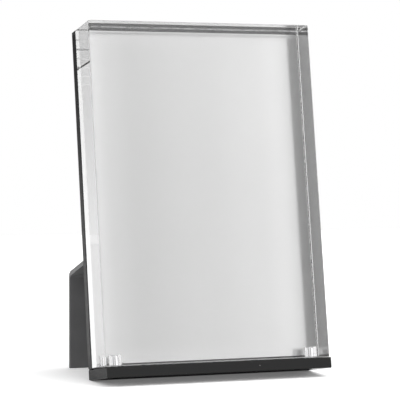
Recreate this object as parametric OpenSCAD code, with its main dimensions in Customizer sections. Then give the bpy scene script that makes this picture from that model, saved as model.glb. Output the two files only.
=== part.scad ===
// Tabletop frame for one photograph: a clear block stands on two pins in front of a leaning black panel.
// The origin is the centre of the footprint, on the table. +Z is up and the front faces -Y.

/* [Clear block] */
// Width of the block, and of the panel and the ledge that carry it
block_w = 130; // [110:1:160]
// Height of the block along its leaning face
block_h = 188; // [150:1:220]
// Thickness of the block
block_t = 25; // [19:0.5:32]
// Bevel polished on every edge of the block
block_bevel = 0.5; // [0.2:0.1:1]
// Space left between the block and the ledge that it rests on
seat_gap = 0.2; // [0.1:0.05:0.3]

/* [Black panel and ledge] */
// Lean of the frame back from upright, in degrees
lean = 9.5; // [7:0.5:12]
// Thickness of the sheet that the panel and the ledge are cut from
sheet_t = 6; // [5:0.5:8]
// How far the ledge shows in front of the block
lip = 2; // [1:0.5:6]
// Bevel on the edges of the panel and the ledge
sheet_bevel = 0.4; // [0.2:0.1:0.6]
// Depth planed off the ledge's lowest edge so that it stands flat
heel_planed = 0.5; // [0.3:0.1:0.8]

/* [Picture card] */
// Thickness of the card
card_t = 0.8; // [0.4:0.1:1.2]
// Free space on each face of the card in its slot
card_play = 0.1; // [0.1:0.05:0.4]
// How far the card stays in from each side of the block
card_side_gap = 0.5; // [0.2:0.1:2]
// How far the card ends below the top of the block
card_top_gap = 2.2; // [0.5:0.1:12]
// How far the card ends above the ledge, held there by the slot's light pinch
card_seat_gap = 2.2; // [0.2:0.1:4]

/* [Pins] */
// Diameter of a pin
pin_d = 7.2; // [6:0.1:9]
// Height of a pin above the ledge
pin_rise = 6; // [5:0.5:10]
// Distance from a pin's axis to the nearer side of the block
pin_inset = 8; // [7:0.5:20]
// Bevel round a pin's top
pin_bevel = 0.4; // [0.2:0.1:0.6]
// Clearance round a pin in its blind hole in the block
pin_play = 0.1; // [0.05:0.01:0.1]
// Space left above a pin in its blind hole
pin_headroom = 0.4; // [0.3:0.1:1]

/* [Pin screws] */
// Diameter of a screw's shank
screw_d = 3; // [2.5:0.5:3.5]
// How far a screw reaches up into its pin
screw_grip = 3.5; // [2.5:0.5:4]
// Diameter of a screw's countersunk head
screw_head_d = 5.6; // [5.2:0.1:6]
// Height of the countersunk head
screw_head_h = 1.7; // [1.5:0.1:2]
// How far the head sits inside the ledge's underside
screw_recess = 0.3; // [0.1:0.1:0.5]
// Clearance round the shank in the ledge
screw_play = 0.2; // [0.1:0.05:0.3]
// Width across the flats of the key socket in the head
socket_w = 2; // [1.5:0.1:2.2]
// Depth of the key socket
socket_depth = 1.1; // [0.8:0.1:1.3]
// Depth of the tapped hole left beyond the end of the screw
tap_spare = 0.6; // [0.3:0.1:0.8]

/* [Rear foot] */
// Thickness of the bent sheet
foot_t = 2.5; // [2:0.5:4]
// How far the foot's ends stay in from the panel's sides
foot_inset = 5; // [2:1:30]
// Distance from the ledge's heel to the outside of the foot's upright wall
foot_reach = 56; // [45:1:75]
// Height of the knee between the upright wall and the sloping leg
foot_knee_h = 55; // [45:1:65]
// Rise of the sloping leg towards the panel, in degrees
foot_slope = 16.5; // [10:0.5:25]
// Length of the flange cemented flat to the panel's back
foot_flange_h = 18; // [10:1:30]
// Inside radius of the foot's bends
foot_bend_r = 2; // [1:0.5:4]

/* [Hidden] */
$fn = 64;

// Overrun of every cut past the face that it leaves by
overrun = 1;

// The slot between the panel and the block, and how deep the ledge is under all of them
slot_t = card_t + 2 * card_play;
block_back = sheet_t + slot_t;
block_front = block_back + block_t;
ledge_depth = block_front + lip;

// The ledge's heel, placed so that the footprint is centred on the origin
footprint_front = ledge_depth * cos(lean) - sheet_bevel * sin(lean);
heel_y = (footprint_front - foot_reach) / 2;

// A pin's hole in the block is centred in the block's thickness
pin_x = block_w / 2 - pin_inset;
pin_y = -(block_back + block_t / 2);
pin_r = pin_d / 2;
screw_r = screw_d / 2;
screw_head_r = screw_head_d / 2;
screw_len = sheet_t - screw_recess + screw_grip;

// Steps round each of the foot's bends
bend_steps = 12;
// The foot's bends, as angles that the sheet turns through
knee_turn = 90 - foot_slope;
flange_turn = knee_turn + lean;
knee_out_r = foot_bend_r + foot_t;
// The sloping leg's length from the knee's corner to the flange's outer plane
flange_plane_y = foot_t * cos(lean);
flange_plane_z = -heel_planed - foot_t * sin(lean);
slope_len = ((foot_reach - flange_plane_y) * cos(lean) - (foot_knee_h - flange_plane_z) * sin(lean))
    / cos(foot_slope - lean);
slope_run = slope_len - knee_out_r * tan(knee_turn / 2) - foot_bend_r * tan(flange_turn / 2);
// Directions across and along the sloping leg and the flange, as [depth, height]
slope_out = [sin(foot_slope), cos(foot_slope)];
slope_along = [-cos(foot_slope), sin(foot_slope)];
flange_along = [sin(lean), cos(lean)];
flange_in = [-cos(lean), sin(lean)];
// Centres of the knee and of the bend at the panel
knee_centre = [foot_reach - knee_out_r, foot_knee_h - knee_out_r * tan(knee_turn / 2)];
flange_centre = knee_centre + (knee_out_r + foot_bend_r) * slope_out + slope_run * slope_along;

black = [0.06, 0.06, 0.065];
clear = [0.85, 0.93, 0.95, 0.35];
steel = [0.78, 0.79, 0.8];
card_grey = [0.84, 0.84, 0.85];

// The frame's own leaning directions: x across, -y forward, z up the face from the ledge's top
module leaning() {
    translate([0, heel_y, -heel_planed])
        rotate([-lean, 0, 0])
            translate([0, 0, sheet_t])
                children();
}

// A rectangle with its four corners cut off
module eased_rectangle(size, bevel) {
    half = size / 2;
    polygon([
        [-half.x + bevel, -half.y], [half.x - bevel, -half.y],
        [half.x, -half.y + bevel], [half.x, half.y - bevel],
        [half.x - bevel, half.y], [-half.x + bevel, half.y],
        [-half.x, half.y - bevel], [-half.x, -half.y + bevel]
    ]);
}

// A box with a flat bevel on every edge, standing on its bottom and centred across
module eased_box(size, bevel) {
    translate([0, 0, size.z / 2])
        intersection() {
            linear_extrude(height = size.z, center = true)
                eased_rectangle([size.x, size.y], bevel);
            rotate([90, 0, 0])
                linear_extrude(height = size.y, center = true)
                    eased_rectangle([size.x, size.z], bevel);
            rotate([90, 0, 90])
                linear_extrude(height = size.x, center = true)
                    eased_rectangle([size.y, size.z], bevel);
        }
}

// The clear block, with a blind hole in its underside for each pin
module clear_block() {
    color(clear)
        leaning()
            difference() {
                translate([0, pin_y, seat_gap])
                    eased_box([block_w, block_t, block_h - seat_gap], block_bevel);
                for (side = [-1, 1])
                    translate([side * pin_x, pin_y, seat_gap - overrun])
                        cylinder(h = pin_rise + pin_headroom - seat_gap + overrun, r = pin_r + pin_play);
            }
}

// The black panel that the picture lies against, standing on the ledge
module back_panel() {
    color(black)
        leaning()
            translate([0, -sheet_t / 2, 0])
                eased_box([block_w, sheet_t, block_h], sheet_bevel);
}

// The hole for a pin's screw, countersunk from the underside of the ledge
module screw_hole() {
    translate([0, 0, -sheet_t]) {
        translate([0, 0, -overrun])
            cylinder(h = overrun + screw_recess, r = screw_head_r);
        translate([0, 0, screw_recess])
            cylinder(h = screw_head_h, r1 = screw_head_r, r2 = screw_r);
        cylinder(h = sheet_t + overrun, r = screw_r + screw_play);
    }
}

// The black ledge, planed level along its heel where it stands on the table
module base_ledge() {
    color(black)
        difference() {
            leaning()
                difference() {
                    translate([0, -ledge_depth / 2, -sheet_t])
                        eased_box([block_w, ledge_depth, sheet_t], sheet_bevel);
                    for (side = [-1, 1])
                        translate([side * pin_x, pin_y, 0])
                            screw_hole();
                }
            translate([-block_w / 2 - overrun, heel_y - ledge_depth, -heel_planed - overrun])
                cube([block_w + 2 * overrun, ledge_depth + overrun, heel_planed + overrun]);
        }
}

// Points round a bend, from one angle to another
function bend(centre, r, from, to) = [
    for (i = [0:bend_steps])
        let (angle = from + (to - from) * i / bend_steps)
            centre + r * [cos(angle), sin(angle)]
];

// The foot's profile, as [depth, height] from the ledge's heel: wall, knee, sloping leg and flange
module foot_profile() {
    flange_foot = flange_centre - foot_bend_r * [cos(lean), -sin(lean)];
    flange_top = flange_foot + foot_flange_h * flange_along;
    polygon(concat(
        [[foot_reach, 0]],
        bend(knee_centre, knee_out_r, 0, knee_turn),
        bend(flange_centre, foot_bend_r, 180 + knee_turn, 180 - lean),
        [flange_top, flange_top + foot_t * flange_in],
        bend(flange_centre, knee_out_r, 180 - lean, 180 + knee_turn),
        bend(knee_centre, foot_bend_r, knee_turn, 0),
        [[foot_reach - foot_t, 0]]
    ));
}

// The bent black foot that props the panel from behind
module rear_foot() {
    color(black)
        translate([0, heel_y, 0])
            rotate([90, 0, 90])
                linear_extrude(height = block_w - 2 * foot_inset, center = true)
                    foot_profile();
}

// One pin, standing on the ledge, tapped from below for its screw
module pin(side) {
    color(steel)
        leaning()
            translate([side * pin_x, pin_y, 0])
                rotate_extrude()
                    polygon([
                        [screw_r, 0], [pin_r, 0],
                        [pin_r, pin_rise - pin_bevel], [pin_r - pin_bevel, pin_rise],
                        [0, pin_rise], [0, screw_grip + tap_spare], [screw_r, screw_grip + tap_spare]
                    ]);
}

module pin_left() {
    pin(-1);
}

module pin_right() {
    pin(1);
}

// The two countersunk screws that hold the pins, each with a six-sided key socket
module pin_screws() {
    color(steel)
        leaning()
            for (side = [-1, 1])
                translate([side * pin_x, pin_y, screw_recess - sheet_t])
                    difference() {
                        rotate_extrude()
                            polygon([
                                [0, 0], [screw_head_r, 0], [screw_r, screw_head_h],
                                [screw_r, screw_len], [0, screw_len]
                            ]);
                        translate([0, 0, -overrun])
                            cylinder(h = overrun + socket_depth, d = socket_w / cos(30), $fn = 6);
                    }
}

// The card in its slot, which a photograph takes the place of
module photo_insert() {
    color(card_grey)
        leaning()
            translate([-block_w / 2 + card_side_gap, -sheet_t - card_play - card_t, card_seat_gap])
                cube([block_w - 2 * card_side_gap, card_t, block_h - card_top_gap - card_seat_gap]);
}

clear_block();
back_panel();
base_ledge();
rear_foot();
pin_left();
pin_right();
pin_screws();
photo_insert();
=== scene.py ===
"""The looks of a leaning photo frame: a clear block on two pins before a black panel."""
import logging
from dataclasses import dataclass, field
from enum import Enum
from math import cos, degrees, radians, sin

import bmesh
import bpy
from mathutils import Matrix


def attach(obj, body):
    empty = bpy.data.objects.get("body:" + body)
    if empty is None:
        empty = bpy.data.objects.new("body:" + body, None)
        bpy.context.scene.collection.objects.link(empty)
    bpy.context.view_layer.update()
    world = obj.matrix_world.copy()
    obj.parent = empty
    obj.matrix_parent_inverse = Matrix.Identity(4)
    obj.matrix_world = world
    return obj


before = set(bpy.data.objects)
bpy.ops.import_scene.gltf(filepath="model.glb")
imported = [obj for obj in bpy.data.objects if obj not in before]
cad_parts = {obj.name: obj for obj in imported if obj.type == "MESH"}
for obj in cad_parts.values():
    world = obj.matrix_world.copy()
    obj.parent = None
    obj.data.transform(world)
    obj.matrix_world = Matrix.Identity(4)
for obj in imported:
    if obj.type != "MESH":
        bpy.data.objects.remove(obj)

LOG = logging.getLogger("photo_frame")

Number = int | float
Colour = tuple[float, float, float, float]
Point = tuple[float, float, float]
Span = tuple[float, float]
Stops = tuple[tuple[float, float], ...]
Nodes = dict[str, bpy.types.Object]

ACRYLIC_INDEX = 1.49
WHITE: Colour = (1.0, 1.0, 1.0, 1.0)
NOISE_MIDDLE = 0.5

# How far a face looks along a direction, from 0 to 1, to count as square or nearly square to it.
SQUARE = 0.98
NEARLY_SQUARE = 0.9

# The sockets of a Mix node that mixes colours. Its other sockets have the same names.
FACTOR = 0
FIRST_COLOUR = 6
SECOND_COLOUR = 7
MIXED_COLOUR = 2


class Way(Enum):
    """The frame's own directions, as the axes of its leaning place."""

    ACROSS = "X"
    THROUGH = "Y"
    UP = "Z"


class Value:
    """A shader socket that reads like a number: its operators add Math nodes."""

    def __init__(self, shader: "Shader", socket: bpy.types.NodeSocket) -> None:
        """Keeps the socket and the shader that it belongs to."""
        self.shader = shader
        self.socket = socket

    def _maths(self, operation: str, *terms: "Value | Number") -> "Value":
        """Adds one Math node.

        Args:
            operation: Blender's name for the operation.
            terms: what goes into its sockets, in order.

        Returns:
            The node's result.
        """
        return self.shader.add("ShaderNodeMath", {"operation": operation}, dict(enumerate(terms)))

    def __add__(self, other: "Value | Number") -> "Value":
        """Returns the sum."""
        return self._maths("ADD", self, other)

    def __radd__(self, other: Number) -> "Value":
        """Returns the sum, with the number first."""
        return self._maths("ADD", other, self)

    def __sub__(self, other: "Value | Number") -> "Value":
        """Returns the difference."""
        return self._maths("SUBTRACT", self, other)

    def __rsub__(self, other: Number) -> "Value":
        """Returns the number less this value."""
        return self._maths("SUBTRACT", other, self)

    def __mul__(self, other: "Value | Number") -> "Value":
        """Returns the product."""
        return self._maths("MULTIPLY", self, other)

    def __rmul__(self, other: Number) -> "Value":
        """Returns the product, with the number first."""
        return self._maths("MULTIPLY", other, self)

    def __gt__(self, other: "Value | Number") -> "Value":
        """Returns 1 where this value is the greater, and 0 elsewhere."""
        return self._maths("GREATER_THAN", self, other)

    def __lt__(self, other: "Value | Number") -> "Value":
        """Returns 1 where this value is the less, and 0 elsewhere."""
        return self._maths("LESS_THAN", self, other)

    def size(self) -> "Value":
        """Returns this value without its sign."""
        return self._maths("ABSOLUTE", self)

    def about(self, middle: Number, swing: Number) -> "Value":
        """Returns this noise as a value that swings about a middle."""
        return self * swing + (middle - NOISE_MIDDLE * swing)

    def spread(
        self, low: Number, high: Number, to_low: Number = 0.0, to_high: Number = 1.0
    ) -> "Value":
        """Maps the stretch from low to high smoothly to another, and holds it beyond the ends.

        Args:
            low: where the stretch starts.
            high: where it ends.
            to_low: the result up to low.
            to_high: the result from high on.

        Returns:
            The mapped value.
        """
        return self.shader.add(
            "ShaderNodeMapRange",
            {"interpolation_type": "SMOOTHSTEP"},
            {"Value": self, "From Min": low, "From Max": high, "To Min": to_low, "To Max": to_high},
        )


Entry = Value | Number | tuple[float, ...]


@dataclass(frozen=True)
class Lean:
    """Where the frame's own directions start from, and how far they lean.

    Attributes:
        angle: how far the panel leans back.
        heel_y: where the ledge's heel stands on the room's Y axis.
        heel_planed: how much is planed off the heel.
        sheet: the ledge's thickness.
    """

    angle: float = radians(9.5)
    heel_y: float = -0.01126615
    heel_planed: float = 0.0005
    sheet: float = 0.006

    def offset(self) -> Point:
        """Returns the step from turned world directions to the ledge's top at the panel's back."""
        return (
            0.0,
            -self.heel_y * cos(self.angle) - self.heel_planed * sin(self.angle),
            -self.heel_y * sin(self.angle) + self.heel_planed * cos(self.angle) - self.sheet,
        )

    def world(self, across: float, through: float, up: float) -> Point:
        """Turns a leaning place into a place in the room.

        Args:
            across: distance to the right of the middle.
            through: distance behind the panel's back.
            up: distance above the ledge's top, along the leaning face.

        Returns:
            The same place in the room.
        """
        step = self.offset()
        back, rise = through - step[1], up - step[2]
        return (
            across,
            back * cos(self.angle) + rise * sin(self.angle),
            rise * cos(self.angle) - back * sin(self.angle),
        )


LEAN = Lean()


@dataclass(frozen=True)
class Lumps:
    """Soft noise.

    Attributes:
        scale: how many lumps there are to a metre.
        detail: how many finer layers are added.
        roughness: how strong the finer layers are.
        depth: the lumps' height in metres, where they are raised.
    """

    scale: float
    detail: float = 2.0
    roughness: float = 0.5
    depth: float = 0.0


@dataclass(frozen=True)
class Strokes:
    """Fine straight lines, such as a scraper or a brush leaves.

    Attributes:
        way: the direction that they run in.
        pitch: their usual distance apart, in metres.
        length: their usual length, in metres.
        depth: their depth, in metres.
    """

    way: Way
    pitch: float
    length: float
    depth: float


@dataclass(frozen=True)
class Hairlines:
    """Sparse thin scratches that wander.

    Attributes:
        scale: how many bends there are to a metre.
        width: the lines' width, as a share of the noise between them.
        depth: their depth, in metres.
        patch_scale: the scale of the patches that have lines, as a share of theirs.
        patch_span: the stretch of noise over which the lines of a patch set in.
    """

    scale: float
    width: float
    depth: float
    patch_scale: float = 0.6
    patch_span: Span = (0.52, 0.62)


@dataclass(frozen=True)
class Specks:
    """Scattered specks of dust.

    Attributes:
        spacing: the usual distance between them, in metres.
        reach: how far a speck reaches, as a share of the spacing.
        core: the part of that reach that is solid.
        cover: how fully a speck hides what is under it.
    """

    spacing: float
    reach: float
    core: float = 0.6
    cover: float = 0.8


class Shader:
    """A node tree being written, for a material or for the world."""

    def __init__(self, tree: bpy.types.NodeTree) -> None:
        """Starts on an empty tree."""
        self.tree = tree
        tree.nodes.clear()

    def add(
        self,
        kind: str,
        settings: dict[str, object] | None = None,
        entries: dict[str | int, Entry] | None = None,
        result: str | int = 0,
    ) -> Value:
        """Adds one node.

        Args:
            kind: Blender's type name of the node.
            settings: the node's own settings, which are set before its sockets. A ramp's stops
                are under "stops".
            entries: a value or a link for each socket, by name or number.
            result: the output socket that is wanted.

        Returns:
            That output, or the first input of a node that has no outputs.
        """
        node = self.tree.nodes.new(kind)
        for name, setting in (settings or {}).items():
            if name == "stops":
                self._set_stops(node.color_ramp, setting)
            else:
                setattr(node, name, setting)
        for name, entry in (entries or {}).items():
            if isinstance(entry, Value):
                self.tree.links.new(entry.socket, node.inputs[name])
            else:
                node.inputs[name].default_value = entry
        return Value(self, node.outputs[result] if node.outputs else node.inputs[0])

    @staticmethod
    def _set_stops(ramp: bpy.types.ColorRamp, stops: Stops) -> None:
        """Sets a ramp's grey stops.

        Args:
            ramp: the ramp, which has two stops when it is new.
            stops: place and grey level of each stop.
        """
        ramp.interpolation = "EASE"
        while len(ramp.elements) < len(stops):
            ramp.elements.new(1.0)
        for element, (place, grey) in zip(ramp.elements, stops, strict=True):
            element.position = place
            element.color = (grey, grey, grey, 1.0)

    def mix(self, factor: Value, first: Entry, second: Entry) -> Value:
        """Mixes two colours.

        Args:
            factor: 0 for the first, 1 for the second.
            first: a colour.
            second: another colour.

        Returns:
            The mixed colour.
        """
        return self.add(
            "ShaderNodeMix",
            {"data_type": "RGBA"},
            {FACTOR: factor, FIRST_COLOUR: first, SECOND_COLOUR: second},
            MIXED_COLOUR,
        )

    def place(self) -> Value:
        """Returns the place on the frame in its own leaning directions, in metres."""
        own = self.add("ShaderNodeTexCoord", result="Object")
        return self.add(
            "ShaderNodeMapping",
            {},
            {"Vector": own, "Rotation": (LEAN.angle, 0.0, 0.0), "Location": LEAN.offset()},
        )

    def along(self, place: Value, way: Way) -> Value:
        """Returns one coordinate of a place."""
        return self.add("ShaderNodeSeparateXYZ", {}, {0: place}, way.value)

    def toward(self, way: Way) -> Value:
        """Measures how far a face looks along one of the frame's own directions.

        Args:
            way: the direction.

        Returns:
            The measure, from -1 to 1.
        """
        own = self.add("ShaderNodeTexCoord", result="Normal")
        turned = self.add(
            "ShaderNodeMapping",
            {"vector_type": "NORMAL"},
            {"Vector": own, "Rotation": (LEAN.angle, 0.0, 0.0)},
        )
        return self.along(turned, way)

    def facing(self, way: Way) -> Value:
        """Returns how squarely a face looks along one of the frame's own directions, either way."""
        return self.toward(way).size()

    def bevels(self) -> Value:
        """Returns 1 on the narrow sloping faces between the frame's main faces, and 0 on those."""
        square = [self.facing(way) > SQUARE for way in Way]
        return 1.0 - (square[0] + square[1] + square[2])

    def noise(self, place: Value, lumps: Lumps) -> Value:
        """Adds soft noise.

        Args:
            place: where it is looked up.
            lumps: what it is like.

        Returns:
            The noise, mostly from 0.3 to 0.7.
        """
        return self.add(
            "ShaderNodeTexNoise",
            {},
            {
                "Vector": place,
                "Scale": lumps.scale,
                "Detail": lumps.detail,
                "Roughness": lumps.roughness,
            },
        )

    def strokes(self, place: Value, strokes: Strokes) -> Value:
        """Adds fine straight lines.

        Args:
            place: where they are looked up.
            strokes: what they are like.

        Returns:
            Noise drawn out along the lines.
        """
        scale = tuple(
            1.0 / (strokes.length if axis is strokes.way else strokes.pitch) for axis in Way
        )
        drawn = self.add("ShaderNodeMapping", {}, {"Vector": place, "Scale": scale})
        return self.noise(drawn, Lumps(scale=1.0, detail=1.0))

    def hairlines(self, place: Value, lines: Hairlines) -> Value:
        """Adds sparse scratches.

        Args:
            place: where they are looked up.
            lines: what they are like.

        Returns:
            1 on a scratch and 0 beside it.
        """
        bends = self.noise(place, Lumps(lines.scale, detail=1.0))
        line = (bends - NOISE_MIDDLE).size().spread(0.0, lines.width, 1.0, 0.0)
        patches = self.noise(place, Lumps(lines.scale * lines.patch_scale, detail=0.0))
        return line * patches.spread(*lines.patch_span)

    def specks(self, place: Value, specks: Specks) -> Value:
        """Adds specks of dust.

        Args:
            place: where they are looked up.
            specks: what they are like.

        Returns:
            Their cover on a speck, and 0 beside it.
        """
        entries = {"Vector": place, "Scale": 1.0 / specks.spacing}
        away = self.add("ShaderNodeTexVoronoi", {}, entries)
        return away.spread(specks.reach * specks.core, specks.reach, 1.0, 0.0) * specks.cover

    def bump(self, height: Value, depth: float, normal: Value | None = None) -> Value:
        """Turns a height into a normal.

        Args:
            height: the height, from 0 to 1.
            depth: the real height of 1, in metres.
            normal: the normal that it is added to.

        Returns:
            The normal.
        """
        entries: dict[str | int, Entry] = {"Height": height, "Distance": depth, "Strength": 1.0}
        if normal is not None:
            entries["Normal"] = normal
        return self.add("ShaderNodeBump", {}, entries)

    def surface(self, **entries: Entry) -> Value:
        """Adds the main surface shader.

        Args:
            entries: its sockets by name, each space written as an underscore.

        Returns:
            The surface.
        """
        named = {name.replace("_", " "): entry for name, entry in entries.items()}
        return self.add("ShaderNodeBsdfPrincipled", {}, named)

    def both(self, first: Value, second: Value) -> Value:
        """Returns two surfaces in equal shares."""
        return self.add("ShaderNodeMixShader", {}, {0: 0.5, 1: first, 2: second})

    def finish(self, surface: Value) -> None:
        """Feeds the material's output."""
        self.add("ShaderNodeOutputMaterial", {}, {"Surface": surface})


def new_material(name: str) -> tuple[bpy.types.Material, Shader]:
    """Starts a material.

    Args:
        name: the material's name.

    Returns:
        The material and the shader that writes its nodes.
    """
    material = bpy.data.materials.new(name)
    material.use_nodes = True
    return material, Shader(material.node_tree)


@dataclass(frozen=True)
class ClearAcrylic:
    """Cast clear acrylic, polished on every face.

    It has faint wipe marks and scraped bevels, which are rougher behind and below. The bevels
    along its foot are painted dark grey, as painted shade.
    """

    colour: Colour = (0.99, 0.99, 0.99, 1.0)
    # Painted shade: the dark grey of the bevels along the foot.
    painted_foot_shade: Colour = (0.42, 0.42, 0.42, 1.0)
    haze: float = 0.02
    bevel_roughness: float = 0.1
    hidden_roughness: float = 0.65
    rear: float = -0.0085
    foot: float = 0.001
    smears: Lumps = Lumps(scale=38.0, detail=4.0, roughness=0.65)
    smear_span: Span = (0.55, 0.75)
    scratches: Hairlines = Hairlines(scale=70.0, width=0.015, depth=0.0000005)
    scrapes: Lumps = Lumps(scale=900.0)
    scrape_gain: float = 2.0
    sag: Lumps = Lumps(scale=16.0, detail=0.0, depth=0.00003)

    def material(self) -> bpy.types.Material:
        """Writes the finish as a material.

        Returns:
            The material.
        """
        material, shader = new_material("clear_acrylic")
        place = shader.place()
        smears = shader.noise(place, self.smears).spread(*self.smear_span)
        scratches = shader.hairlines(place, self.scratches)
        bevels = shader.bevels()
        scrapes = shader.noise(place, self.scrapes)
        above = shader.along(place, Way.UP) > self.foot
        shown = (shader.along(place, Way.THROUGH) < self.rear) * above
        hidden = (1.0 - shown) * (1.0 - shader.facing(Way.ACROSS))
        sanded = hidden * (self.hidden_roughness - self.bevel_roughness) + self.bevel_roughness
        roughness = smears * self.haze + bevels * scrapes * self.scrape_gain * sanded
        sag = shader.bump(shader.noise(place, self.sag), self.sag.depth)
        shader.finish(
            shader.surface(
                # Painted shade: the bevels along the foot are tinted dark grey.
                Base_Color=shader.mix(bevels * (1.0 - above), self.colour, self.painted_foot_shade),
                Roughness=roughness,
                IOR=ACRYLIC_INDEX,
                Transmission_Weight=1.0,
                Normal=shader.bump(scratches, self.scratches.depth, sag),
            )
        )
        return material


@dataclass(frozen=True)
class BlackAcrylic:
    """Black acrylic sheet: glossy faces and sides left as scraped.

    The strip along its top, above the card, is painted lighter grey with streaks, as painted
    light.
    """

    colour: Colour = (0.002, 0.002, 0.0022, 1.0)
    smeared: Colour = (0.005, 0.005, 0.0053, 1.0)
    scraped: Colour = (0.006, 0.006, 0.0063, 1.0)
    # Painted light: the lighter grey of the strip along the top, above the card.
    painted_rim_light: Colour = (0.08, 0.08, 0.082, 1.0)
    dust: Colour = (0.22, 0.21, 0.2, 1.0)
    roughness: float = 0.05
    smear_roughness: float = 0.12
    scratch_roughness: float = 0.2
    bevel_roughness: float = 0.12
    bevel_wear: float = 0.8
    edge_roughness: float = 0.34
    edge_swing: float = 0.3
    shine: float = 0.3
    # Painted light: where the lighter top strip starts, how much it is lightened, and its streaks.
    rim: float = 0.1857
    rim_light_share: float = 0.6
    rim_light_streaks: float = 0.8
    smears: Lumps = Lumps(scale=42.0, detail=4.0, roughness=0.6)
    smear_span: Span = (0.5, 0.72)
    scrapes: Strokes = Strokes(Way.THROUGH, pitch=0.0004, length=0.008, depth=0.00002)
    scrape_span: Span = (0.35, 0.65)
    scratches: Hairlines = Hairlines(scale=90.0, width=0.004, depth=0.000003)
    specks: Specks = Specks(spacing=0.009, reach=0.035)

    def material(self) -> bpy.types.Material:
        """Writes the finish as a material.

        Returns:
            The material.
        """
        material, shader = new_material("black_acrylic")
        place = shader.place()
        smears = shader.noise(place, self.smears).spread(*self.smear_span)
        sides = shader.facing(Way.ACROSS) > NEARLY_SQUARE
        bevels = shader.bevels()
        scrapes = shader.strokes(place, self.scrapes)
        scratches = shader.hairlines(place, self.scratches)
        face = shader.mix(smears, self.colour, self.smeared)
        # Painted light: the strip above the card is lightened, with streaks.
        at_rim = shader.along(place, Way.UP) > self.rim
        rim_lighting = at_rim * (self.rim_light_share + self.rim_light_streaks * scrapes)
        rim_lit = shader.mix(rim_lighting, face, self.painted_rim_light)
        wear = sides * scrapes.spread(*self.scrape_span) + bevels * self.bevel_wear
        worn = shader.mix(wear, rim_lit, self.scraped)
        colour = shader.mix(shader.specks(place, self.specks), worn, self.dust)
        smeared = smears * (self.smear_roughness - self.roughness)
        gloss = smeared + scratches * self.scratch_roughness + self.roughness
        cut = scrapes.about(self.edge_roughness, self.edge_swing)
        roughness = gloss + sides * (cut - gloss) + bevels * self.bevel_roughness
        sawn = shader.bump(scrapes * sides, self.scrapes.depth)
        shader.finish(
            shader.surface(
                Base_Color=colour,
                Roughness=roughness,
                IOR=ACRYLIC_INDEX,
                Specular_IOR_Level=self.shine,
                Normal=shader.bump(scratches, self.scratches.depth, sawn),
            )
        )
        return material


@dataclass(frozen=True)
class SatinSheet:
    """The foot's thinner sheet: satin inside, black and glossier outside.

    Its inside face is painted charcoal, lighter than the black outside, as painted light where
    the panel shades it. It is paler along the knee, where it was bent.
    """

    # Painted light: the inside face's charcoal and its mottle, lighter than the black outside.
    colour: Colour = (0.182, 0.182, 0.185, 1.0)
    mottle: Colour = (0.2, 0.2, 0.203, 1.0)
    outer: Colour = (0.02, 0.02, 0.0205, 1.0)
    outer_mottle: Colour = (0.028, 0.028, 0.0285, 1.0)
    edge: Colour = (0.03, 0.03, 0.031, 1.0)
    bent: Colour = (0.07, 0.07, 0.072, 1.0)
    roughness: float = 0.38
    outer_roughness: float = 0.2
    outward: float = 0.05
    edge_roughness: float = 0.16
    edge_swing: float = 0.12
    knee_height: float = 0.055
    bend_reach: float = 0.005
    bend_wear: float = 0.6
    clouds: Lumps = Lumps(scale=55.0, detail=4.0, roughness=0.6)
    cloud_span: Span = (0.35, 0.7)
    cloud_swing: float = 0.14
    tooth: Lumps = Lumps(scale=2600.0, roughness=0.6, depth=0.000012)
    scrapes: Strokes = Strokes(Way.THROUGH, pitch=0.0003, length=0.006, depth=0.000015)

    def material(self) -> bpy.types.Material:
        """Writes the finish as a material.

        Returns:
            The material.
        """
        material, shader = new_material("black_sheet")
        place = shader.place()
        room = shader.add("ShaderNodeTexCoord", result="Object")
        clouds = shader.noise(place, self.clouds)
        tooth = shader.noise(place, self.tooth)
        sides = shader.facing(Way.ACROSS) > NEARLY_SQUARE
        scrapes = shader.strokes(place, self.scrapes)
        from_knee = (shader.along(room, Way.UP) - self.knee_height).size()
        knee = from_knee.spread(0.0, self.bend_reach, 1.0, 0.0)
        outer = shader.toward(Way.THROUGH) > self.outward
        patches = clouds.spread(*self.cloud_span)
        black = shader.mix(patches, self.outer, self.outer_mottle)
        stretched = shader.mix(knee * clouds * self.bend_wear, black, self.bent)
        # Painted light: the inside face takes the lighter charcoal, the outside the black.
        face = shader.mix(outer, shader.mix(patches, self.colour, self.mottle), stretched)
        clouded = clouds.about(self.roughness, self.cloud_swing)
        satin = clouded - outer * (self.roughness - self.outer_roughness)
        cut = scrapes.about(self.edge_roughness, self.edge_swing)
        sawn = shader.bump(scrapes * sides, self.scrapes.depth)
        shader.finish(
            shader.surface(
                Base_Color=shader.mix(sides, face, self.edge),
                Roughness=satin + sides * (cut - satin),
                IOR=ACRYLIC_INDEX,
                Normal=shader.bump(tooth, self.tooth.depth, sawn),
            )
        )
        return material


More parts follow.
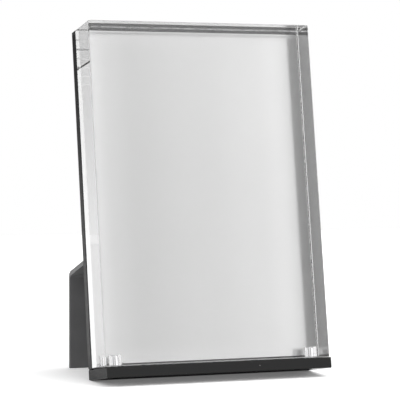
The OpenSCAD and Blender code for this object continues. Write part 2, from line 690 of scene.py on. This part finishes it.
@dataclass(frozen=True)
class SilverCard:
    """Silver-faced card with a pale paper core, painted light and shade across and at its ends.

    Its face is a smooth lacquer over a satin coat. The greys across its width are painted light
    and shade, for light that enters through the block's sides; each stop is a share of its
    width, from the left, and the grey there. Its head and foot are painted paler, as painted
    light.
    """

    width: float = 0.129
    head: float = 0.1858
    foot: float = 0.0022
    fade: float = 0.012
    # Painted light: how much paler the head and foot are painted.
    paling: float = 0.25
    # Painted light and shade: the greys across the width.
    painted_tones: Stops = (
        (0.0, 0.78),
        (0.13, 0.615),
        (0.2, 0.57),
        (0.5, 0.635),
        (0.77, 0.7),
        (0.88, 0.76),
        (1.0, 0.6),
    )
    # The pale grey that the brushing, the clouds and the painted light at head and foot lean
    # toward.
    bright: Colour = (0.86, 0.86, 0.865, 1.0)
    core: Colour = (0.78, 0.77, 0.74, 1.0)
    lacquer_roughness: float = 0.14
    satin_roughness: float = 0.46
    core_roughness: float = 0.75
    metal: float = 0.88
    brushing: Strokes = Strokes(Way.ACROSS, pitch=0.00006, length=0.006, depth=0.00000015)
    brush_span: Span = (0.4, 0.75)
    brush_paling: float = 0.05
    clouds: Lumps = Lumps(scale=30.0, detail=3.0, roughness=0.6)
    cloud_paling: float = 0.03
    cloud_swing: float = 0.04

    def material(self) -> bpy.types.Material:
        """Writes the finish as a material.

        Returns:
            The material.
        """
        material, shader = new_material("card")
        place = shader.place()
        share = shader.along(place, Way.ACROSS) * (1.0 / self.width) + 0.5
        tone = shader.add("ShaderNodeValToRGB", {"stops": self.painted_tones}, {0: share})
        brushed = shader.strokes(place, self.brushing)
        clouds = shader.noise(place, self.clouds)
        height = shader.along(place, Way.UP)
        # Painted light: the head and foot are painted paler; the brushing and clouds are the card's
        # own.
        painted_foot_light = height.spread(self.foot, self.foot + self.fade, 1.0, 0.0)
        ends = painted_foot_light + height.spread(self.head - self.fade, self.head)
        streaks = brushed.spread(*self.brush_span, 0.0, self.brush_paling)
        paler = streaks + clouds * self.cloud_paling + ends * self.paling
        face = shader.mix(paler, tone, self.bright)
        faces = shader.facing(Way.THROUGH) > NEARLY_SQUARE
        coats = [
            shader.surface(
                Base_Color=shader.mix(faces, self.core, face),
                Roughness=faces * clouds.about(extra, self.cloud_swing) + self.core_roughness,
                Metallic=faces * self.metal,
                Normal=shader.bump(brushed, self.brushing.depth),
            )
            for extra in (
                self.lacquer_roughness - self.core_roughness,
                self.satin_roughness - self.core_roughness,
            )
        ]
        shader.finish(shader.both(*coats))
        return material


@dataclass(frozen=True)
class TurnedSteel:
    """Bright steel with the fine rings that a lathe leaves, round its side and on its top.

    The rings run round two upright axes, one at each side of the frame.
    """

    name: str
    colour: Colour = (0.88, 0.88, 0.89, 1.0)
    dull: Colour = (0.62, 0.62, 0.64, 1.0)
    roughness: float = 0.06
    axis_out: float = 0.057
    axis_through: float = -0.0195
    ring_pitch: float = 0.00018
    ring_depth: float = 0.0000012
    ring_swing: float = 0.08
    stains: Lumps = Lumps(scale=350.0, detail=3.0, roughness=0.6)
    stain_span: Span = (0.5, 0.75)
    stain_cover: float = 0.6
    stain_roughness: float = 0.06
    bevel_roughness: float = 0.05

    def material(self) -> bpy.types.Material:
        """Writes the finish as a material.

        Returns:
            The material.
        """
        material, shader = new_material(self.name)
        place = shader.place()
        out = shader.along(place, Way.ACROSS).size() - self.axis_out
        back = shader.along(place, Way.THROUGH) - self.axis_through
        flat = shader.add("ShaderNodeCombineXYZ", {}, {0: out, 1: back})
        away = shader.add("ShaderNodeVectorMath", {"operation": "LENGTH"}, {0: flat}, "Value")
        height = shader.along(place, Way.UP)
        ringed = shader.add("ShaderNodeCombineXYZ", {}, {0: away, 1: 0.0, 2: height})
        rings = shader.noise(ringed, Lumps(1.0 / self.ring_pitch, detail=1.0))
        stains = shader.noise(place, self.stains).spread(*self.stain_span)
        turned = rings.about(self.roughness, self.ring_swing)
        worn = stains * self.stain_roughness + shader.bevels() * self.bevel_roughness
        shader.finish(
            shader.surface(
                Base_Color=shader.mix(stains * self.stain_cover, self.colour, self.dull),
                Roughness=turned + worn,
                Metallic=1.0,
                Normal=shader.bump(rings, self.ring_depth),
            )
        )
        return material


@dataclass(frozen=True)
class Cement:
    """Clear solvent cement that has set over the black sheet, glossy and slightly lumpy."""

    colour: Colour = (0.02, 0.02, 0.021, 1.0)
    pale: Colour = (0.06, 0.06, 0.062, 1.0)
    roughness: float = 0.12
    swing: float = 0.2
    lumps: Lumps = Lumps(scale=450.0, depth=0.00008)
    pale_span: Span = (0.45, 0.7)

    def material(self) -> bpy.types.Material:
        """Writes the finish as a material.

        Returns:
            The material.
        """
        material, shader = new_material("cement")
        place = shader.place()
        lumps = shader.noise(place, self.lumps)
        shader.finish(
            shader.surface(
                Base_Color=shader.mix(lumps.spread(*self.pale_span), self.colour, self.pale),
                Roughness=lumps.about(self.roughness, self.swing),
                IOR=ACRYLIC_INDEX,
                Normal=shader.bump(lumps, self.lumps.depth),
            )
        )
        return material


@dataclass(frozen=True)
class PaleFloor:
    """Matt pale board, which the camera sees white but for the frame's shadow.

    Attributes:
        colour: the grey that it has for all but the camera.
        shown: the grey that it has for the camera, above 1 so that it is white where it is lit.
        lift: a faint glow that only the camera sees, which softens the shadow.
    """

    colour: float = 0.82
    shown: float = 1.21
    lift: float = 0.13

    def material(self) -> bpy.types.Material:
        """Writes the finish as a material.

        Returns:
            The material.
        """
        material, shader = new_material("floor")
        seen = shader.add("ShaderNodeLightPath", result="Is Camera Ray")
        tone = seen * (self.shown - self.colour) + self.colour
        colour = shader.add("ShaderNodeCombineColor", {}, {0: tone, 1: tone, 2: tone})
        lit = shader.add("ShaderNodeBsdfDiffuse", {}, {"Color": colour})
        lift = shader.add("ShaderNodeEmission", {}, {"Strength": seen * self.lift})
        shader.finish(shader.add("ShaderNodeAddShader", {}, {0: lit, 1: lift}))
        return material


def dress(nodes: Nodes, material: bpy.types.Material, *names: str) -> None:
    """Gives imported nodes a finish.

    Args:
        nodes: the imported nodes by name.
        material: the finish.
        names: the nodes that take it.
    """
    for name in names:
        mesh = nodes[name].data
        mesh.materials.clear()
        mesh.materials.append(material)
        LOG.info("%s: %s", name, material.name)


@dataclass
class BlackStand:
    """The black stand: panel, ledge and bent foot, cemented together."""

    foot_half: float = 0.060
    foot_sheet: float = 0.0025
    flange_length: float = 0.018
    flange_top: float = 0.08311
    bead: float = 0.0007
    bead_steps: int = 5
    bead_inset: float = 0.0004
    sheet_finish: BlackAcrylic = field(default_factory=BlackAcrylic)
    foot_finish: SatinSheet = field(default_factory=SatinSheet)
    cement_finish: Cement = field(default_factory=Cement)

    def add_bead(self, name: str, start: Point, end: Point, out: Point) -> bpy.types.Object:
        """Adds a hollow fillet of cement between the panel's back and an edge of the foot's flange.

        Args:
            name: the bead's name.
            start: the corner's first end, in leaning directions.
            end: its other end.
            out: direction away from the flange's edge, along the panel.

        Returns:
            The bead.
        """
        form = bmesh.new()
        rings = []
        for corner in (start, end):
            ring = [form.verts.new(LEAN.world(*corner))]
            for step in range(self.bead_steps + 1):
                turn = radians(90.0) * step / self.bead_steps
                away, back = self.bead * (1.0 - sin(turn)), self.bead * (1.0 - cos(turn))
                point = (
                    corner[0] + out[0] * away,
                    corner[1] + back,
                    corner[2] + out[2] * away,
                )
                ring.append(form.verts.new(LEAN.world(*point)))
            rings.append(ring)
        count = len(rings[0])
        for one in range(count):
            two = (one + 1) % count
            form.faces.new((rings[0][one], rings[0][two], rings[1][two], rings[1][one]))
        form.faces.new(rings[0][::-1])
        form.faces.new(rings[1])
        bmesh.ops.recalc_face_normals(form, faces=form.faces)
        mesh = bpy.data.meshes.new(name)
        form.to_mesh(mesh)
        form.free()
        piece = bpy.data.objects.new(name, mesh)
        bpy.context.collection.objects.link(piece)
        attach(piece, "frame")
        return piece

    def build(self) -> list[bpy.types.Object]:
        """Adds the cement that shows round the foot's flange.

        Returns:
            The beads along its top and its two sides.
        """
        half, top = self.foot_half, self.flange_top
        low = top - self.flange_length + self.foot_sheet
        side = half - self.bead_inset
        return [
            self.add_bead("cement_top", (-side, 0.0, top), (side, 0.0, top), (0.0, 0.0, 1.0)),
            self.add_bead("cement_left", (-half, 0.0, low), (-half, 0.0, top), (-1.0, 0.0, 0.0)),
            self.add_bead("cement_right", (half, 0.0, low), (half, 0.0, top), (1.0, 0.0, 0.0)),
        ]

    def dress(self, nodes: Nodes, beads: list[bpy.types.Object]) -> None:
        """Gives the stand its finishes.

        Args:
            nodes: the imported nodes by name.
            beads: the cement beads.
        """
        dress(nodes, self.sheet_finish.material(), "back_panel", "base_ledge")
        dress(nodes, self.foot_finish.material(), "rear_foot")
        cement = {bead.name: bead for bead in beads}
        dress(cement, self.cement_finish.material(), *cement)


@dataclass
class ClearBlock:
    """The clear block that lifts off its pins."""

    finish: ClearAcrylic = field(default_factory=ClearAcrylic)

    def dress(self, nodes: Nodes) -> None:
        """Gives the block its finish."""
        dress(nodes, self.finish.material(), "clear_block")


@dataclass
class PictureCard:
    """The plain card in the picture's place."""

    finish: SilverCard = field(default_factory=SilverCard)

    def dress(self, nodes: Nodes) -> None:
        """Gives the card its finish."""
        dress(nodes, self.finish.material(), "photo_insert")


@dataclass
class LocatingPins:
    """The two pins on the ledge and the screws that hold them from below."""

    pin_finish: TurnedSteel = field(default_factory=lambda: TurnedSteel("polished_steel"))
    screw_finish: TurnedSteel = field(
        default_factory=lambda: TurnedSteel(
            "screw_steel",
            colour=(0.52, 0.52, 0.53, 1.0),
            dull=(0.36, 0.36, 0.37, 1.0),
            roughness=0.26,
        )
    )

    def dress(self, nodes: Nodes) -> None:
        """Gives pins and screws their finishes."""
        dress(nodes, self.pin_finish.material(), "pin_left", "pin_right")
        dress(nodes, self.screw_finish.material(), "pin_screws")


@dataclass(frozen=True)
class Screen:
    """A soft-edged stretch of the surround that is brighter or darker than white.

    Attributes:
        turn: direction of its middle, in degrees round the frame.
        half_turn: degrees from its middle to each side.
        low: its lower end, in degrees above the horizon.
        high: its upper end.
        edge: half the width of its soft edges, in degrees.
        level: how bright it is, where white is 1.
    """

    turn: float
    half_turn: float
    low: float
    high: float
    edge: float
    level: float

    def over(self, below: Value | Number, turn: Value, rise: Value) -> Value:
        """Lays this screen over what is there.

        Args:
            below: the level without it.
            turn: direction round the frame, 0 to the front and positive to the right.
            rise: direction above the horizon.

        Returns:
            The level with it.
        """
        aside = (turn - self.turn).size()
        within = aside.spread(self.half_turn - self.edge, self.half_turn + self.edge, 1.0, 0.0)
        above = rise.spread(self.low - self.edge, self.low + self.edge)
        under = rise.spread(self.high - self.edge, self.high + self.edge, 1.0, 0.0)
        return below + within * above * under * (self.level - below)


@dataclass
class Studio:
    """The white room that the frame stands in: floor, surround and camera.

    The outer screens are hidden from what is seen through the clear block.
    """

    camera_turn: float = -20.335
    camera_dip: float = 1.767
    camera_away: float = 1.0086
    camera_aside: float = -0.000361
    camera_height: float = 0.12867
    camera_near: float = 0.05
    lens: float = 163.33
    sensor: float = 36.0
    clamp: float = 4.0
    bounces: int = 16
    glossy_bounces: int = 8
    diffuse_bounces: int = 4
    floor_half: float = 1.5
    floor_cells: int = 2
    floor_finish: PaleFloor = field(default_factory=PaleFloor)
    screens: tuple[Screen, ...] = (
        Screen(turn=-18.5, half_turn=11.0, low=-90.0, high=60.0, edge=4.0, level=0.24),
        Screen(turn=24.0, half_turn=20.0, low=-20.0, high=60.0, edge=3.0, level=1.35),
        Screen(turn=24.0, half_turn=20.0, low=19.0, high=60.0, edge=6.0, level=1.5),
        Screen(turn=165.0, half_turn=20.0, low=-40.0, high=40.0, edge=5.0, level=1.06),
        Screen(turn=-90.0, half_turn=13.0, low=-60.0, high=50.0, edge=10.0, level=0.78),
        Screen(turn=90.0, half_turn=13.0, low=-60.0, high=50.0, edge=10.0, level=0.78),
    )
    outer_screens: tuple[Screen, ...] = (
        Screen(turn=-75.0, half_turn=24.0, low=-5.0, high=55.0, edge=6.0, level=1.4),
        Screen(turn=80.0, half_turn=28.0, low=-5.0, high=60.0, edge=6.0, level=1.9),
        Screen(turn=40.0, half_turn=40.0, low=42.0, high=80.0, edge=5.0, level=2.2),
        Screen(turn=-160.0, half_turn=30.0, low=-2.0, high=60.0, edge=4.0, level=0.08),
    )

    def add_camera(self) -> None:
        """Adds the camera at the photograph's viewing angle."""
        data = bpy.data.cameras.new("camera")
        data.lens = self.lens
        data.sensor_width = self.sensor
        data.clip_start = self.camera_near
        camera = bpy.data.objects.new("camera", data)
        turn = radians(self.camera_turn)
        camera.location = (
            sin(turn) * self.camera_away + cos(turn) * self.camera_aside,
            -cos(turn) * self.camera_away + sin(turn) * self.camera_aside + LEAN.heel_y,
            self.camera_height,
        )
        camera.rotation_euler = (radians(90.0 - self.camera_dip), 0.0, turn)
        bpy.context.collection.objects.link(camera)
        bpy.context.scene.camera = camera

    def add_world(self) -> None:
        """Adds the white surround with its screens. The camera itself sees it plain white."""
        world = bpy.data.worlds.new("surround")
        bpy.context.scene.world = world
        world.use_nodes = True
        shader = Shader(world.node_tree)
        direction = shader.add("ShaderNodeTexCoord", result="Generated")
        x, y, z = (shader.along(direction, way) for way in Way)
        bearing = shader.add("ShaderNodeMath", {"operation": "ARCTAN2"}, {0: x, 1: -1.0 * y})
        elevation = shader.add("ShaderNodeMath", {"operation": "ARCSINE"}, {0: z})
        turn, rise = bearing * degrees(1.0), elevation * degrees(1.0)
        through: Value | Number = 1.0
        for screen in self.screens:
            through = screen.over(through, turn, rise)
        level = through
        for screen in self.outer_screens:
            level = screen.over(level, turn, rise)
        passed = shader.add("ShaderNodeLightPath", result="Is Transmission Ray")
        lit = level + passed * (through - level)
        seen = shader.add("ShaderNodeLightPath", result="Is Camera Ray")
        strength = lit + seen * (1.0 - lit)
        surface = shader.add("ShaderNodeBackground", {}, {"Color": WHITE, "Strength": strength})
        shader.add("ShaderNodeOutputWorld", {}, {"Surface": surface})

    def add_floor(self) -> None:
        """Adds the floor."""
        mesh = bpy.data.meshes.new("floor")
        form = bmesh.new()
        bmesh.ops.create_grid(
            form,
            x_segments=self.floor_cells,
            y_segments=self.floor_cells,
            size=self.floor_half,
        )
        form.to_mesh(mesh)
        form.free()
        mesh.materials.append(self.floor_finish.material())
        floor = bpy.data.objects.new("floor", mesh)
        bpy.context.collection.objects.link(floor)

    def set_view(self) -> None:
        """Sets plain colour and clean sampling."""
        scene = bpy.context.scene
        scene.view_settings.view_transform = "Standard"
        scene.cycles.use_denoising = True
        scene.cycles.sample_clamp_indirect = self.clamp
        scene.cycles.max_bounces = self.bounces
        scene.cycles.transmission_bounces = self.bounces
        scene.cycles.glossy_bounces = self.glossy_bounces
        scene.cycles.diffuse_bounces = self.diffuse_bounces

    def build(self) -> None:
        """Adds everything."""
        self.add_camera()
        self.add_world()
        self.add_floor()
        self.set_view()


def main() -> None:
    """Dresses the frame and sets up the studio."""
    logging.basicConfig(level=logging.INFO, format="%(message)s")
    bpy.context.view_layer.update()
    nodes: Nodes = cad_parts
    stand = BlackStand()
    stand.dress(nodes, stand.build())
    ClearBlock().dress(nodes)
    PictureCard().dress(nodes)
    LocatingPins().dress(nodes)
    Studio().build()


if __name__ == "__main__":
    main()
